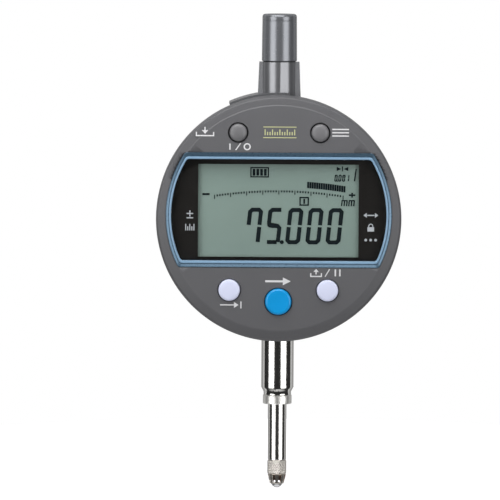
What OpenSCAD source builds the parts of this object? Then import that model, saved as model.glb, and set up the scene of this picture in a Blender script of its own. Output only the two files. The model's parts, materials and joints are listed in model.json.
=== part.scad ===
// Plunger-type digital indicator: a round display unit that turns on a fixed rear case, an 8 mm stem
// and a sliding spindle. Millimetres. The origin is the middle of the stem's clamping length, on its axis.
// +Z runs up the spindle, the display faces -Y and +X is to its right.

/* [Display unit] */
// Diameter of the display unit
disc_d = 60; // [60:0.5:62]
// Height of the display's axis above the middle of the stem
disc_z = 36.5; // [36.5:0.5:37]
// Thickness of the bezel's front wall
front_wall = 2; // [1.8:0.1:2.2]
// Thickness of the bezel's side wall
side_wall = 2.4; // [2:0.1:2.5]
// Width of the chamfer round the front edge
rim_chamfer = 2.2; // [1:0.1:2.3]
// Radius of the window's curved sides
window_r = 26.3; // [25.8:0.1:26.4]
// Window's top edge above the display's axis
window_top = 14.7; // [14:0.1:14.8]
// Window's bottom edge below the display's axis
window_bottom = 10.15; // [9.5:0.05:10.2]
// Width of the trim ring at its sides
trim_side = 1.3; // [1:0.1:1.4]
// Width of the trim ring at its top and bottom
trim_edge = 1.6; // [1.4:0.1:1.7]

/* [Buttons] */
// Cap diameter of the two upper buttons
upper_button_d = 4.3; // [3.8:0.1:4.6]
// Distance of the upper buttons from the middle
upper_button_x = 10; // [9:0.25:10.5]
// Upper buttons above the display's axis
upper_button_z = 21.2; // [21:0.1:21.5]
// Cap diameter of the two lower side buttons
lower_button_d = 5.25; // [4.5:0.05:5.4]
// Distance of the lower side buttons from the middle
lower_button_x = 12; // [12:0.25:12.5]
// Lower side buttons below the display's axis
lower_button_z = 17.3; // [17.2:0.1:17.6]
// Cap diameter of the middle button
middle_button_d = 6.4; // [5.5:0.1:6.6]
// Middle button below the display's axis
middle_button_z = 20.1; // [19.8:0.1:20.4]
// Travel of every button
button_travel = 0.5; // [0.3:0.05:0.5]

/* [Rear case] */
// Diameter of the rear case
case_d = 56; // [56:0.5:57]
// Thickness of the rear case's round wall
case_wall = 2; // [1.8:0.1:2.2]
// Radius of the connector block's outer face, from the display's axis
block_r = 30.4; // [30:0.1:30.8]
// Diameter of the hub that the display unit turns on
hub_d = 22; // [21:0.5:23]

/* [Stem and spindle] */
// Diameter of the stem
stem_d = 8; // [8:0.1:8.5]
// Clamping length of the stem
stem_length = 12.1; // [11:0.1:12.1]
// Diameter of the spindle
spindle_d = 4.6; // [4.4:0.1:4.7]
// Travel of the spindle
travel = 12.7; // [10:0.1:12.7]
// Diameter of the contact ball
ball_d = 3; // [2:0.5:3]

/* [Cap] */
// Diameter of the spindle cap at its lower end
cap_d = 8.7; // [8.6:0.1:9.2]
// Height of the spindle cap
cap_height = 11.6; // [11.6:0.1:13]

/* [Hidden] */
$fn = 72;

// Places along Y, from the front of the display unit to the back of the case
front_y = -18;
inner_y = front_y + front_wall;
trim_front_y = front_y - 0.5;
window_front_y = front_y + 0.1;
window_back_y = inner_y - 0.2;
mask_back_y = inner_y - 0.1;
lcd_front_y = inner_y + 0.8;
lcd_back_y = inner_y + 2.8;
board_front_y = -12.4;
board_back_y = -11.2;
rear_plate_front_y = -7.9;
plate_head_y = -6.9;
disc_back_y = -6;
case_front_y = -5.5;
case_inner_y = -3.9;
case_back_y = 7.2;
back_y = 9;
hub_front_y = -8.1;
retainer_front_y = -8.9;
scale_front_y = 3.6;
scale_back_y = 4.1;
head_front_y = 4.4;
head_back_y = 5.4;
rail_back_y = 2;
stop_groove_y = -4.7;
seal_y = -5.25;
gasket_y = 6.7;
cover_head_y = 7.9;

// Radii
disc_r = disc_d / 2;
cavity_r = disc_r - side_wall;
case_r = case_d / 2;
case_cavity_r = case_r - case_wall;
hub_r = hub_d / 2;
hub_bore_r = hub_r - 2;
stem_r = stem_d / 2;
spindle_r = spindle_d / 2;
ball_r = ball_d / 2;
bush_r = 3;
socket_r = 3.5;
nipple_r = 3.7;
seal_r = 0.6;
seal_ring_r = 24;
gasket_r = case_cavity_r + 0.8;
stop_pin_r = 0.7;
stop_ring_r = 19;
slide_gap = 0.04;
turn_gap = 0.06;

// Window and trim outlines
barrel_z = 0.9;
trim_r = window_r + trim_side;

// Buttons: place across, place up, cap radius, gap round the cap
upper_gap = 0.3;
lower_gap = 0.15;
UPPER_LEFT = [-upper_button_x, upper_button_z, upper_button_d / 2, upper_gap];
UPPER_RIGHT = [upper_button_x, upper_button_z, upper_button_d / 2, upper_gap];
LOWER_LEFT = [-lower_button_x, -lower_button_z, lower_button_d / 2, lower_gap];
LOWER_RIGHT = [lower_button_x, -lower_button_z, lower_button_d / 2, lower_gap];
MIDDLE = [0, -middle_button_z, middle_button_d / 2, lower_gap];
BUTTONS = [UPPER_LEFT, UPPER_RIGHT, LOWER_LEFT, LOWER_RIGHT, MIDDLE];
button_proud = 0.9;
button_flange = 0.9;
button_back_y = -13.9;
pad_front_y = button_back_y + button_travel + 0.1;

// Screw places on the display unit's rear plate and on the back cover, from the display's axis
PLATE_SCREWS = [[-18.8, 18.2], [18.8, 18.2], [-20, -16], [20, -16]];
COVER_SCREWS = [[-17.2, 17.2], [17.2, 17.2], [-17.2, -17.2], [17.2, -17.2]];
BOARD_SCREWS = [[-23, 2], [23, 2]];
RAIL_SCREWS = [[-9.2, -12], [-9.2, 10]];
HEAD_SCREWS = [[-8.5, -7], [-8.5, 8]];
retainer_screw_r = hub_r - 1;
boss_r = 1.5;
thread_r = 0.6;
small_thread_r = 0.5;
plate_thread_r = 0.7;
plate_head_r = 1.3;
cover_thread_r = 0.9;

// Connector block at the upper left of the case
block_angle = 23.9;
slot_angle = 17;
slot_w = 4.4;
slot_r = 25.5;
slot_top_r = 28.4;
slot_front_y = -2.5;
slot_back_y = 5;

// Places along Z
stem_top_z = stem_length / 2;
stem_neck_z = -stem_top_z - 1.2;
stem_end_z = -8;
end_ring_z = -10.2;
spindle_end_z = -24.1;
knurl_end_z = -27.7;
holder_end_z = -30.1;
ball_z = -31.1 + ball_r;
socket_top_z = 15;
lower_boss_z = 17;
upper_boss_z = 57;
spring_seat_z = 56.4;
collar_foot_z = 63;
collar_r = 4.3;
ear_r = 26;
ear_half_t = 2.2;
panel_z = 64.4;
panel_r = collar_r + 0.2;
panel_right_x = 0.9;
panel_slope_w = 0.6;
collar_top_z = 74.3;
cap_z = 74.5;
cap_top_z = cap_z + cap_height;
nipple_top_z = 77.4;
spindle_top_z = 69.5;
top_screw_z = 71.3;
carriage_z = 24;
carriage_h = 10;
carriage_top_z = carriage_z + carriage_h;
guide_pin_z = 29;
guide_pin_r = 0.75;
spring_r = 3;
wire_r = 0.2;
wire_sides = 6;

// Battery, a 20 mm by 3.2 mm coin cell beside the spindle
battery_x = 14;
battery_r = 10;
battery_front_y = 3.8;
battery_back_y = 7;
lid_r = 10.8;
lid_front_y = 7.1;
lid_lug_r = 11.7;

case_grey = "#54565b";
bezel_grey = "#65666b";
trim_blue = "#6f9cc8";
window_black = "#1c1b1b";
steel = "#c9cacc";
rubber_black = "#202022";
board_green = "#1f5a3a";
brass_gold = "#b99a4a";

// An outline in the display's plane, made solid from y0 to y1
module plate(y0, y1) {
    translate([0, y1, disc_z]) rotate([90, 0, 0]) linear_extrude(y1 - y0) children();
}

module ring_shape(r_out, r_in) {
    difference() {
        circle(r_out);
        circle(r_in);
    }
}

// Flat top and bottom, round sides
module barrel(r, low, high) {
    intersection() {
        translate([0, barrel_z]) circle(r);
        translate([-r, low]) square([2 * r, high - low]);
    }
}

module dots(places, r) {
    for (p = places) translate([p[0], p[1]]) circle(r);
}

module rod(z0, z1, r) {
    translate([0, 0, z0]) cylinder(h = z1 - z0, r = r);
}

module tube(z0, z1, r_out, r_in) {
    difference() {
        rod(z0, z1, r_out);
        rod(z0 - 1, z1 + 1, r_in);
    }
}

module taper(z0, z1, r0, r1) {
    translate([0, 0, z0]) cylinder(h = z1 - z0, r1 = r0, r2 = r1);
}

// ---- Rear case ----

// The radial slot that holds the output connector
module slot_shape(r0, r1) {
    rotate(slot_angle) translate([-slot_w / 2, r0]) square([slot_w, r1 - r0]);
}

module block_shape() {
    reach = 2 * block_r;
    right_angle = 5;
    difference() {
        intersection() {
            circle(block_r);
            polygon([
                [0, 0],
                [-reach * sin(block_angle), reach * cos(block_angle)],
                [reach * sin(right_angle), reach * cos(right_angle)],
            ]);
        }
        circle(case_r - 1);
    }
}

// The ears on both sides of the collar, wider at the foot than at the top and thin at their edges
module ears() {
    foot_w = 5.4;
    top_w = 4.95;
    foot = collar_foot_z - disc_z;
    top = collar_top_z - disc_z;
    intersection() {
        plate(-ear_half_t, ear_half_t)
            polygon([[-foot_w, foot], [foot_w, foot], [top_w, top], [-top_w, top]]);
        translate([0, ear_half_t - ear_r, collar_foot_z - 1]) cylinder(h = 14, r = ear_r);
        translate([0, ear_r - ear_half_t, collar_foot_z - 1]) cylinder(h = 14, r = ear_r);
    }
}

// The raised panel on the left half of the collar's front, with a sloping right edge
module collar_panel() {
    front_y = -panel_r - 0.02;
    foot_y = -collar_r + 0.1;
    intersection() {
        rod(panel_z, collar_top_z, panel_r);
        translate([0, 0, panel_z]) linear_extrude(12) polygon([
            [-panel_r, 0], [-panel_r, front_y], [panel_right_x - panel_slope_w, front_y],
            [panel_right_x, foot_y], [panel_right_x, 0],
        ]);
    }
}

// The groove that the stop pin runs in, open except at the stop lug
module stop_groove_shape() {
    lug_w = 8.2;
    difference() {
        ring_shape(stop_ring_r + 1, stop_ring_r - 1);
        translate([-lug_w / 2, -stop_ring_r - 2]) square([lug_w, 4]);
    }
}

module case_body() {
    difference() {
        plate(case_front_y, case_back_y) circle(case_r);
        plate(case_inner_y, case_back_y + 1) circle(case_cavity_r);
    }
    plate(-5.2, 7) block_shape();
    plate(hub_front_y, case_inner_y) circle(hub_r);
    plate(case_front_y, case_back_y) dots(COVER_SCREWS, 2.2);
    rod(stem_top_z, lower_boss_z, 5.5);
    rod(upper_boss_z, collar_foot_z, 5.3);
    rod(collar_foot_z, collar_top_z, collar_r);
    ears();
    collar_panel();
    rod(collar_top_z, nipple_top_z, nipple_r);
}

module rear_case() {
    color(case_grey) difference() {
        case_body();
        plate(hub_front_y - 1, case_inner_y + 1) circle(hub_bore_r);
        plate(case_front_y - 1, stop_groove_y) stop_groove_shape();
        plate(case_front_y - 1, seal_y + seal_r) ring_shape(seal_ring_r + seal_r, seal_ring_r - seal_r);
        plate(gasket_y, case_back_y + 1) ring_shape(gasket_r, case_cavity_r - 1);
        plate(0, case_back_y + 1) dots(COVER_SCREWS, cover_thread_r);
        plate(slot_front_y, slot_back_y) slot_shape(slot_r, block_r + 1);
        rod(stem_top_z - 1, socket_top_z, socket_r);
        rod(socket_top_z - 1, lower_boss_z + 1, bush_r);
        rod(upper_boss_z - 1, nipple_top_z + 1, bush_r);
        plate(-4.9, case_inner_y + 1) dots(RAIL_SCREWS, thread_r);
        plate(hub_front_y - 1, -6) retainer_screw_places() circle(small_thread_r);
    }
}

module retainer_screw_places() {
    for (a = [0:120:240]) rotate(a) translate([0, retainer_screw_r]) children();
}

module back_cover() {
    color(case_grey) difference() {
        union() {
            plate(case_back_y, back_y) circle(case_r - 0.6);
            plate(head_back_y, case_back_y) dots(HEAD_SCREWS, boss_r);
        }
        plate(case_back_y - 1, back_y + 1) battery_place() lid_opening_shape();
        plate(case_back_y - 1, back_y + 1) dots(COVER_SCREWS, 1.1);
        plate(cover_head_y, back_y + 1) dots(COVER_SCREWS, 2.1);
        plate(head_back_y - 1, 6.9) dots(HEAD_SCREWS, thread_r);
    }
}

// Flat-headed screws with a cross recess
module cover_screws() {
    head_top_y = 8.8;
    recess_y = head_top_y - 0.5;
    recess_l = 2.4;
    recess_w = 0.6;
    color(steel) difference() {
        union() {
            plate(cover_head_y, head_top_y) dots(COVER_SCREWS, 2);
            plate(1, cover_head_y) dots(COVER_SCREWS, cover_thread_r);
        }
        for (place = COVER_SCREWS) {
            plate(recess_y, back_y) translate(place) square([recess_l, recess_w], center = true);
            plate(recess_y, back_y) translate(place) square([recess_w, recess_l], center = true);
        }
    }
}

module cover_gasket() {
    color(rubber_black) plate(gasket_y, case_back_y) ring_shape(gasket_r, case_cavity_r);
}

module output_connector() {
    color(rubber_black) difference() {
        plate(slot_front_y, slot_back_y) slot_shape(slot_r, slot_top_r);
        plate(slot_front_y + 1, slot_back_y - 1)
            rotate(slot_angle) translate([-1.2, 27]) square([2.4, 4]);
    }
}

module connector_cover() {
    color(case_grey) intersection() {
        plate(slot_front_y, slot_back_y) slot_shape(slot_top_r, block_r + 1);
        plate(slot_front_y - 1, slot_back_y + 1) circle(block_r, $fn = 360);
    }
}

// ---- Joint between display unit and rear case ----

module hub_retainer() {
    color(steel) difference() {
        plate(retainer_front_y, hub_front_y) ring_shape(hub_r + 2, hub_bore_r);
        plate(retainer_front_y - 1, hub_front_y + 1) retainer_screw_places() circle(small_thread_r);
    }
}

module retainer_screws() {
    color(steel) {
        plate(retainer_front_y - 0.5, retainer_front_y) retainer_screw_places() circle(0.9);
        plate(retainer_front_y, -6.2) retainer_screw_places() circle(small_thread_r);
    }
}

module rotation_seal() {
    color(rubber_black) translate([0, seal_y, disc_z]) rotate([90, 0, 0])
        rotate_extrude() translate([seal_ring_r, 0]) circle(seal_r);
}

// Points of a flat spiral, wound out from the middle
function spiral(r0, r1, turns, steps) =
    [for (i = [0:steps]) let (a = 360 * turns * i / steps, r = r0 + (r1 - r0) * i / steps)
        [r * cos(a), r * sin(a)]];

function reversed(list) = [for (i = [len(list) - 1:-1:0]) list[i]];

module flat_cable() {
    cable_t = 0.3;
    turns = 3;
    steps = 72;
    color("#c07a2c") plate(-7.6, -4.6) polygon(concat(
        spiral(4, 8, turns, steps),
        reversed(spiral(4 + cable_t, 8 + cable_t, turns, steps))
    ));
}

// ---- Stem and spindle guidance ----

module stem() {
    color(steel) difference() {
        union() {
            rod(-stem_top_z, stem_top_z, stem_r);
            taper(stem_neck_z, -stem_top_z, 3.4, stem_r);
            rod(stem_end_z, stem_neck_z, 3.4);
            rod(stem_top_z, socket_top_z, socket_r);
        }
        rod(stem_end_z - 1, socket_top_z + 1, bush_r);
    }
}

module lower_bush() {
    color(brass_gold) tube(-6.5, socket_top_z, bush_r, spindle_r + slide_gap);
}

module wiper_seal() {
    color(rubber_black) tube(-7.8, -6.7, bush_r, spindle_r + slide_gap);
}

module stem_end_ring() {
    color(steel) tube(end_ring_z, stem_end_z, 3.55, spindle_r + turn_gap);
}

module upper_bush() {
    color(brass_gold) tube(upper_boss_z, 75, bush_r, spindle_r + slide_gap);
}

module spring_seat() {
    color(steel) tube(spring_seat_z, upper_boss_z, spring_r + 0.6, spindle_r + 0.4);
}

// ---- Spindle cap ----

module cap_seal() {
    color(rubber_black) tube(collar_top_z, cap_z, collar_r - 0.3, nipple_r);
}

module spindle_cap() {
    edge = 0.7;
    top_r = cap_d / 2 - 0.1;
    color(case_grey) difference() {
        union() {
            taper(cap_z, cap_top_z - edge, cap_d / 2, top_r);
            taper(cap_top_z - edge, cap_top_z, top_r, top_r - edge);
        }
        rod(cap_z - 1, nipple_top_z + 0.1, nipple_r);
        rod(cap_z, cap_top_z - 1.2, bush_r);
    }
}

// ---- Measuring system ----

// Ring of points round a coil's wire, at angle a and height z
function wire_ring(a, z) =
    [for (k = [0:wire_sides - 1]) let (b = 360 * k / wire_sides, r = spring_r + wire_r * cos(b))
        [r * cos(a), r * sin(a), z + wire_r * sin(b)]];

// The two triangles between point i of one ring and its neighbours on the next
function wire_wall(i, next) = [[i, next, i + wire_sides], [next, next + wire_sides, i + wire_sides]];

// A compression spring round the spindle, from the carriage to its seat
module return_spring() {
    turns = 9;
    steps = turns * 16;
    low = carriage_top_z + wire_r;
    rise = spring_seat_z - wire_r - low;
    rings = [for (i = [0:steps]) wire_ring(360 * turns * i / steps, low + rise * i / steps)];
    walls = [for (i = [0:steps - 1], k = [0:wire_sides - 1])
        each wire_wall(i * wire_sides + k, i * wire_sides + (k + 1) % wire_sides)];
    first_end = [for (k = [wire_sides - 1:-1:0]) k];
    last_end = [for (k = [0:wire_sides - 1]) steps * wire_sides + k];
    color(steel)
        polyhedron(points = [for (r = rings) each r], faces = concat(walls, [first_end, last_end]));
}

module guide_rail() {
    pin_slot = guide_pin_r + slide_gap;
    slot_low = guide_pin_z - 1.1;
    slot_high = guide_pin_z + travel + 1.1;
    color(steel) difference() {
        translate([-11.5, case_inner_y, 22]) cube([4.5, rail_back_y - case_inner_y, 27]);
        translate([-12.5, -pin_slot, slot_low]) cube([6.5, 2 * pin_slot, slot_high - slot_low]);
        plate(case_inner_y - 1, rail_back_y + 1) dots(RAIL_SCREWS, thread_r);
    }
}

module rail_screws() {
    color(steel) {
        plate(rail_back_y, rail_back_y + 0.8) dots(RAIL_SCREWS, 1.2);
        plate(-4.9, rail_back_y) dots(RAIL_SCREWS, thread_r);
    }
}

module read_head() {
    color(board_green) difference() {
        translate([-10, head_front_y, 27]) cube([12.6, head_back_y - head_front_y, 20]);
        plate(head_front_y - 1, head_back_y + 1) dots(HEAD_SCREWS, thread_r);
    }
    color(window_black) translate([-5, head_back_y, 33]) cube([6, 1, 7]);
}

module read_head_screws() {
    color(steel) {
        plate(head_front_y - 0.7, head_front_y) dots(HEAD_SCREWS, 1.1);
        plate(head_front_y, 6.8) dots(HEAD_SCREWS, thread_r);
    }
}

module carriage() {
    color(brass_gold) difference() {
        union() {
            translate([-5.6, -3, carriage_z]) cube([9.6, 5.6, carriage_h]);
            translate([-5.5, 0, carriage_z]) cube([7.5, scale_front_y, carriage_h]);
        }
        rod(carriage_z - 1, carriage_top_z + 1, spindle_r);
        translate([0, -0.3, carriage_z - 1]) cube([5, 0.6, carriage_h + 2]);
        translate([-6, 0, guide_pin_z]) rotate([0, 90, 0]) cylinder(h = 2.5, r = guide_pin_r);
        carriage_screw_places() cylinder(h = 8, r = 0.5, center = true);
    }
}

module carriage_screw_places() {
    for (z = [26, 32]) translate([3.2, 0, z]) rotate([90, 0, 0]) children();
}

module carriage_screws() {
    color(steel) carriage_screw_places() {
        translate([0, 0, -2.5]) cylinder(h = 5.5, r = 0.5);
        translate([0, 0, 3]) cylinder(h = 0.6, r = 0.8);
    }
}

module guide_pin() {
    color(steel) translate([-10.2, 0, guide_pin_z]) rotate([0, 90, 0]) cylinder(h = 6.7, r = guide_pin_r);
}

module scale_plate() {
    color("#d8dbe0") translate([-5.5, scale_front_y, 21]) cube([7.5, scale_back_y - scale_front_y, 22]);
}

module spindle() {
    color(steel) difference() {
        rod(spindle_end_z, spindle_top_z, spindle_r);
        rod(spindle_end_z - 1, spindle_end_z + 5, 1.25);
        rod(spindle_top_z - 5, spindle_top_z + 1, 1.25);
    }
}

module top_screw() {
    color(steel) difference() {
        union() {
            rod(spindle_top_z, top_screw_z, 2.1);
            rod(spindle_top_z - 4.5, spindle_top_z, 1.25);
        }
        translate([-3, -0.3, top_screw_z - 0.7]) cube([6, 0.6, 1]);
    }
}

module contact_holder() {
    color(steel) difference() {
        union() {
            rod(spindle_end_z, spindle_end_z + 4.5, 1.25);
            rod(knurl_end_z, spindle_end_z, 2.4);
            taper(holder_end_z, knurl_end_z, 1.8, 2.3);
        }
        translate([0, 0, ball_z]) sphere(ball_r);
    }
}

module contact_ball() {
    color("#8f9195") translate([0, 0, ball_z]) sphere(ball_r);
}

// ---- Battery ----

module battery_place() {
    translate([battery_x, 0]) children();
}

// Round opening with two notches, where the cover's lugs come out after a sixth of a turn
module lid_opening_shape() {
    circle(lid_r + turn_gap);
    rotate(-60) lug_shape(lid_lug_r + 0.3, 3.4);
}

module lug_shape(r, w) {
    intersection() {
        circle(r);
        square([2 * r, w], center = true);
    }
}

module battery_holder() {
    color(rubber_black) {
        difference() {
            plate(3, 5.8) battery_place() circle(battery_r + 0.9);
            plate(3.6, 6) battery_place() circle(battery_r + 0.25);
        }
        plate(case_inner_y, 3) battery_place()
            for (a = [0:120:240]) rotate(a) translate([8, 0]) circle(1.2);
    }
}

module battery_contacts() {
    color(brass_gold) {
        plate(3.6, battery_front_y) battery_place() circle(4);
        plate(4.4, 5.6) battery_place() intersection() {
            ring_shape(battery_r + 0.25, battery_r);
            translate([5, -2]) square([8, 4]);
        }
    }
}

module battery() {
    color(steel) {
        plate(battery_front_y, battery_front_y + 0.6) battery_place() circle(battery_r - 1.2);
        plate(battery_front_y + 0.6, battery_back_y) battery_place() circle(battery_r);
    }
}

module battery_cover() {
    color(case_grey) difference() {
        union() {
            plate(lid_front_y, back_y) battery_place() circle(lid_r);
            plate(6.2, lid_front_y) battery_place() ring_shape(lid_r, battery_r + 0.1);
            plate(6.2, 6.95) battery_place() difference() {
                lug_shape(lid_lug_r, 2.8);
                circle(battery_r + 0.1);
            }
        }
        plate(8.2, back_y + 1) battery_place() square([14, 2], center = true);
        plate(7.5, 8.1) battery_place() ring_shape(lid_r + 1, lid_r - 0.6);
    }
}

module battery_cover_seal() {
    color(rubber_black) plate(7.5, 8.1) battery_place() ring_shape(lid_r, lid_r - 0.6);
}

// ---- Display unit ----

module front_bezel() {
    color(bezel_grey) difference() {
        union() {
            plate(front_y + rim_chamfer, disc_back_y) circle(disc_r);
            translate([0, front_y, disc_z]) rotate([-90, 0, 0])
                cylinder(h = rim_chamfer, r1 = disc_r - rim_chamfer, r2 = disc_r);
        }
        bezel_cavity();
        plate(front_y - 1, inner_y + 1) barrel(trim_r, -window_bottom - trim_edge, window_top + trim_edge);
        for (b = BUTTONS) plate(front_y - 1, inner_y + 1) translate([b[0], b[1]]) circle(b[2] + b[3]);
        plate(-12, rear_plate_front_y + 1) dots(PLATE_SCREWS, plate_thread_r);
    }
}

// The inside of the bezel, less the four bosses that its rear plate is screwed to
module bezel_cavity() {
    difference() {
        plate(inner_y, disc_back_y + 1) circle(cavity_r);
        plate(inner_y - 1, rear_plate_front_y) dots(PLATE_SCREWS, boss_r);
    }
}

module trim_ring() {
    color(trim_blue) plate(trim_front_y, inner_y) difference() {
        barrel(trim_r, -window_bottom - trim_edge, window_top + trim_edge);
        barrel(window_r, -window_bottom, window_top);
    }
}

module display_window() {
    color("#3a3d3e") plate(window_front_y, window_back_y) barrel(window_r, -window_bottom, window_top);
}

// The black print on the back of the window, open over the visible part of the LCD
module window_mask() {
    color("#101010") plate(window_back_y, mask_back_y) difference() {
        barrel(window_r, -window_bottom, window_top);
        translate([-19.7, -9.3]) square([39.2, 22.7]);
    }
}

module lcd_shape() {
    translate([-21.6, -10.7]) square([43.2, 25.4]);
}

module lcd_panel() {
    color("#7f9488") plate(lcd_front_y, lcd_back_y) lcd_shape();
}

module lcd_holder() {
    color("#d9d9d6") plate(inner_y, board_front_y) difference() {
        intersection() {
            circle(cavity_r - 0.3);
            translate([-24.5, -13]) square([49, 29.4]);
        }
        lcd_shape();
        dots(BOARD_SCREWS, small_thread_r);
    }
}

module zebra_strips() {
    color(rubber_black) plate(lcd_back_y, board_front_y)
        for (z = [-10.5, 13]) translate([-18, z]) square([36, 1.5]);
}

// Rubber sheet behind a row of buttons, with a pad for each; half_w is half its width
module membrane(buttons, half_w, low, high) {
    color("#3b3b3e") {
        plate(-13, -12.6) intersection() {
            circle(cavity_r - 0.3);
            translate([-half_w, low]) square([2 * half_w, high - low]);
        }
        plate(pad_front_y, -12.8) for (b = buttons) translate([b[0], b[1]]) circle(1.5);
    }
}

module upper_membrane() {
    membrane([UPPER_LEFT, UPPER_RIGHT], 17, 16.8, disc_r);
}

module lower_membrane() {
    membrane([LOWER_LEFT, LOWER_RIGHT, MIDDLE], 18, -disc_r, -13.4);
}

module switch_domes() {
    color(steel) plate(-12.6, board_front_y) for (b = BUTTONS) translate([b[0], b[1]]) circle(2);
}

module main_board() {
    color(board_green) plate(board_front_y, board_back_y) difference() {
        circle(cavity_r - 0.4);
        dots(PLATE_SCREWS, boss_r + 0.3);
        dots(BOARD_SCREWS, small_thread_r);
    }
}

module board_chips() {
    color(window_black) {
        plate(board_back_y, -9.9) {
            translate([-16, 2]) square([9, 9]);
            translate([6, -8]) square([6, 5]);
            translate([14, 4]) circle(1.5);
        }
        plate(board_back_y, -10.4) for (x = [-12:4:12]) translate([x, -14]) square([2, 1.2]);
    }
}

module board_screws() {
    color(steel) {
        plate(board_back_y, -10.5) dots(BOARD_SCREWS, 1);
        plate(-14.5, board_back_y) dots(BOARD_SCREWS, small_thread_r);
    }
}

module rear_plate() {
    color(case_grey) difference() {
        plate(rear_plate_front_y, disc_back_y) circle(cavity_r);
        plate(rear_plate_front_y - 1, disc_back_y + 1) circle(hub_r + turn_gap);
        plate(rear_plate_front_y - 1, disc_back_y + 1) dots(PLATE_SCREWS, plate_thread_r);
        plate(plate_head_y, disc_back_y + 1) dots(PLATE_SCREWS, plate_head_r);
        plate(rear_plate_front_y - 1, disc_back_y + 1) translate([0, stop_ring_r]) circle(stop_pin_r);
    }
}

module plate_screws() {
    color(steel) {
        plate(plate_head_y, -6.2) dots(PLATE_SCREWS, plate_head_r);
        plate(-11.5, plate_head_y) dots(PLATE_SCREWS, plate_thread_r);
    }
}

module stop_pin() {
    color(steel) plate(rear_plate_front_y, stop_groove_y - 0.2)
        translate([0, stop_ring_r]) circle(stop_pin_r);
}

// ---- Buttons ----

module button(b) {
    flange_y = inner_y + 0.05;
    plate(front_y - button_proud, flange_y) translate([b[0], b[1]]) circle(b[2]);
    plate(flange_y, flange_y + 0.8) translate([b[0], b[1]]) circle(b[2] + button_flange);
    plate(flange_y + 0.8, button_back_y) translate([b[0], b[1]]) circle(1.2);
}

module upper_left_button() {
    color("#87878c") button(UPPER_LEFT);
}

module upper_right_button() {
    color("#87878c") button(UPPER_RIGHT);
}

module lower_left_button() {
    color("#e6e6f2") button(LOWER_LEFT);
}

module lower_right_button() {
    color("#e6e6f2") button(LOWER_RIGHT);
}

module middle_button() {
    color("#1a8fd2") button(MIDDLE);
}

rear_case();
back_cover();
cover_screws();
cover_gasket();
stem();
lower_bush();
wiper_seal();
stem_end_ring();
upper_bush();
spring_seat();
return_spring();
cap_seal();
spindle_cap();
hub_retainer();
retainer_screws();
rotation_seal();
flat_cable();
output_connector();
connector_cover();
guide_rail();
rail_screws();
read_head();
read_head_screws();
battery_holder();
battery_contacts();
battery();
front_bezel();
trim_ring();
display_window();
window_mask();
lcd_panel();
lcd_holder();
zebra_strips();
upper_membrane();
lower_membrane();
switch_domes();
main_board();
board_chips();
board_screws();
rear_plate();
plate_screws();
stop_pin();
upper_left_button();
upper_right_button();
lower_left_button();
lower_right_button();
middle_button();
spindle();
contact_holder();
contact_ball();
top_screw();
carriage();
carriage_screws();
guide_pin();
scale_plate();
battery_cover();
battery_cover_seal();
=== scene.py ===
"""Looks of the plunger-type digital indicator: detailed shapes, materials, light and camera.

Lengths in this script are millimetres and become metres where a mesh is made. Points on the face are
given as (x, z) from the display's axis, x to the right and z up, with y running from front to back."""

import json
import math

import bmesh
import bpy
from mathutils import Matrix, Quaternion, Vector

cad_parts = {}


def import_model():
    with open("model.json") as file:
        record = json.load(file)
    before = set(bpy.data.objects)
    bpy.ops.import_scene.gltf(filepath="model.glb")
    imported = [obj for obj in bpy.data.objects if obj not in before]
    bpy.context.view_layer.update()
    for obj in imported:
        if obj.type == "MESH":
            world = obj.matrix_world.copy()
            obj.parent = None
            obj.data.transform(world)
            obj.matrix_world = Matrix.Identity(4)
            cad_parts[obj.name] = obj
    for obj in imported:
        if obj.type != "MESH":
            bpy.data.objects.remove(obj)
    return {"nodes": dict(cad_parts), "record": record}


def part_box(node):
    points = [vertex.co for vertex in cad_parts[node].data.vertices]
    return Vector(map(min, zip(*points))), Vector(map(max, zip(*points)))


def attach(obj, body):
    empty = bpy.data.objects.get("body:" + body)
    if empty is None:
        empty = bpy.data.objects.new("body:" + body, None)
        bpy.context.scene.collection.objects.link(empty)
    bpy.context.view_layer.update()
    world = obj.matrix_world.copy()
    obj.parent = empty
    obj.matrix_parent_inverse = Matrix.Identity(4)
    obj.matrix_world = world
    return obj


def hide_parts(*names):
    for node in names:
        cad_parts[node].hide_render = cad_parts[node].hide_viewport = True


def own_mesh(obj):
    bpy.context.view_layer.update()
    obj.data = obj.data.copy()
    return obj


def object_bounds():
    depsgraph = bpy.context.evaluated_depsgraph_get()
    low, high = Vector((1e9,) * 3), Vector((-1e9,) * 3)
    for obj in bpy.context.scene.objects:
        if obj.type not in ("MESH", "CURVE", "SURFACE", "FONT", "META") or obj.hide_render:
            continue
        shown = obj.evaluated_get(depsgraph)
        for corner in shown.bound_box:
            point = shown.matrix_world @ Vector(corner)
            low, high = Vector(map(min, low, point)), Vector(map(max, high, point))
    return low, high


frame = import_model()
cad_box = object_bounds()

MM = 0.001


def box_mm(node):
    """Lowest and highest corner of a CAD node in millimetres."""
    low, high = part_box(node)
    return low / MM, high / MM


# Places that the shapes below are worked out from
bezel_low, bezel_high = box_mm("front_bezel")
DISC_R = (bezel_high.x - bezel_low.x) / 2
DISC_Z = (bezel_high.z + bezel_low.z) / 2
FACE_Y = bezel_low.y
DISC_BACK_Y = bezel_high.y
window_low, window_high = box_mm("display_window")
WINDOW_R = (window_high.x - window_low.x) / 2
WINDOW_TOP = window_high.z - DISC_Z
WINDOW_BOTTOM = window_low.z - DISC_Z
trim_low, trim_high = box_mm("trim_ring")
TRIM_R = (trim_high.x - trim_low.x) / 2
TRIM_TOP = trim_high.z - DISC_Z
TRIM_BOTTOM = trim_low.z - DISC_Z
BARREL_Z = 0.9  # middle of the window's round sides, above the display's axis
LCD_Y = box_mm("lcd_panel")[0].y
MASK_Y = box_mm("window_mask")[0].y


# ---- Materials ----

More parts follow.
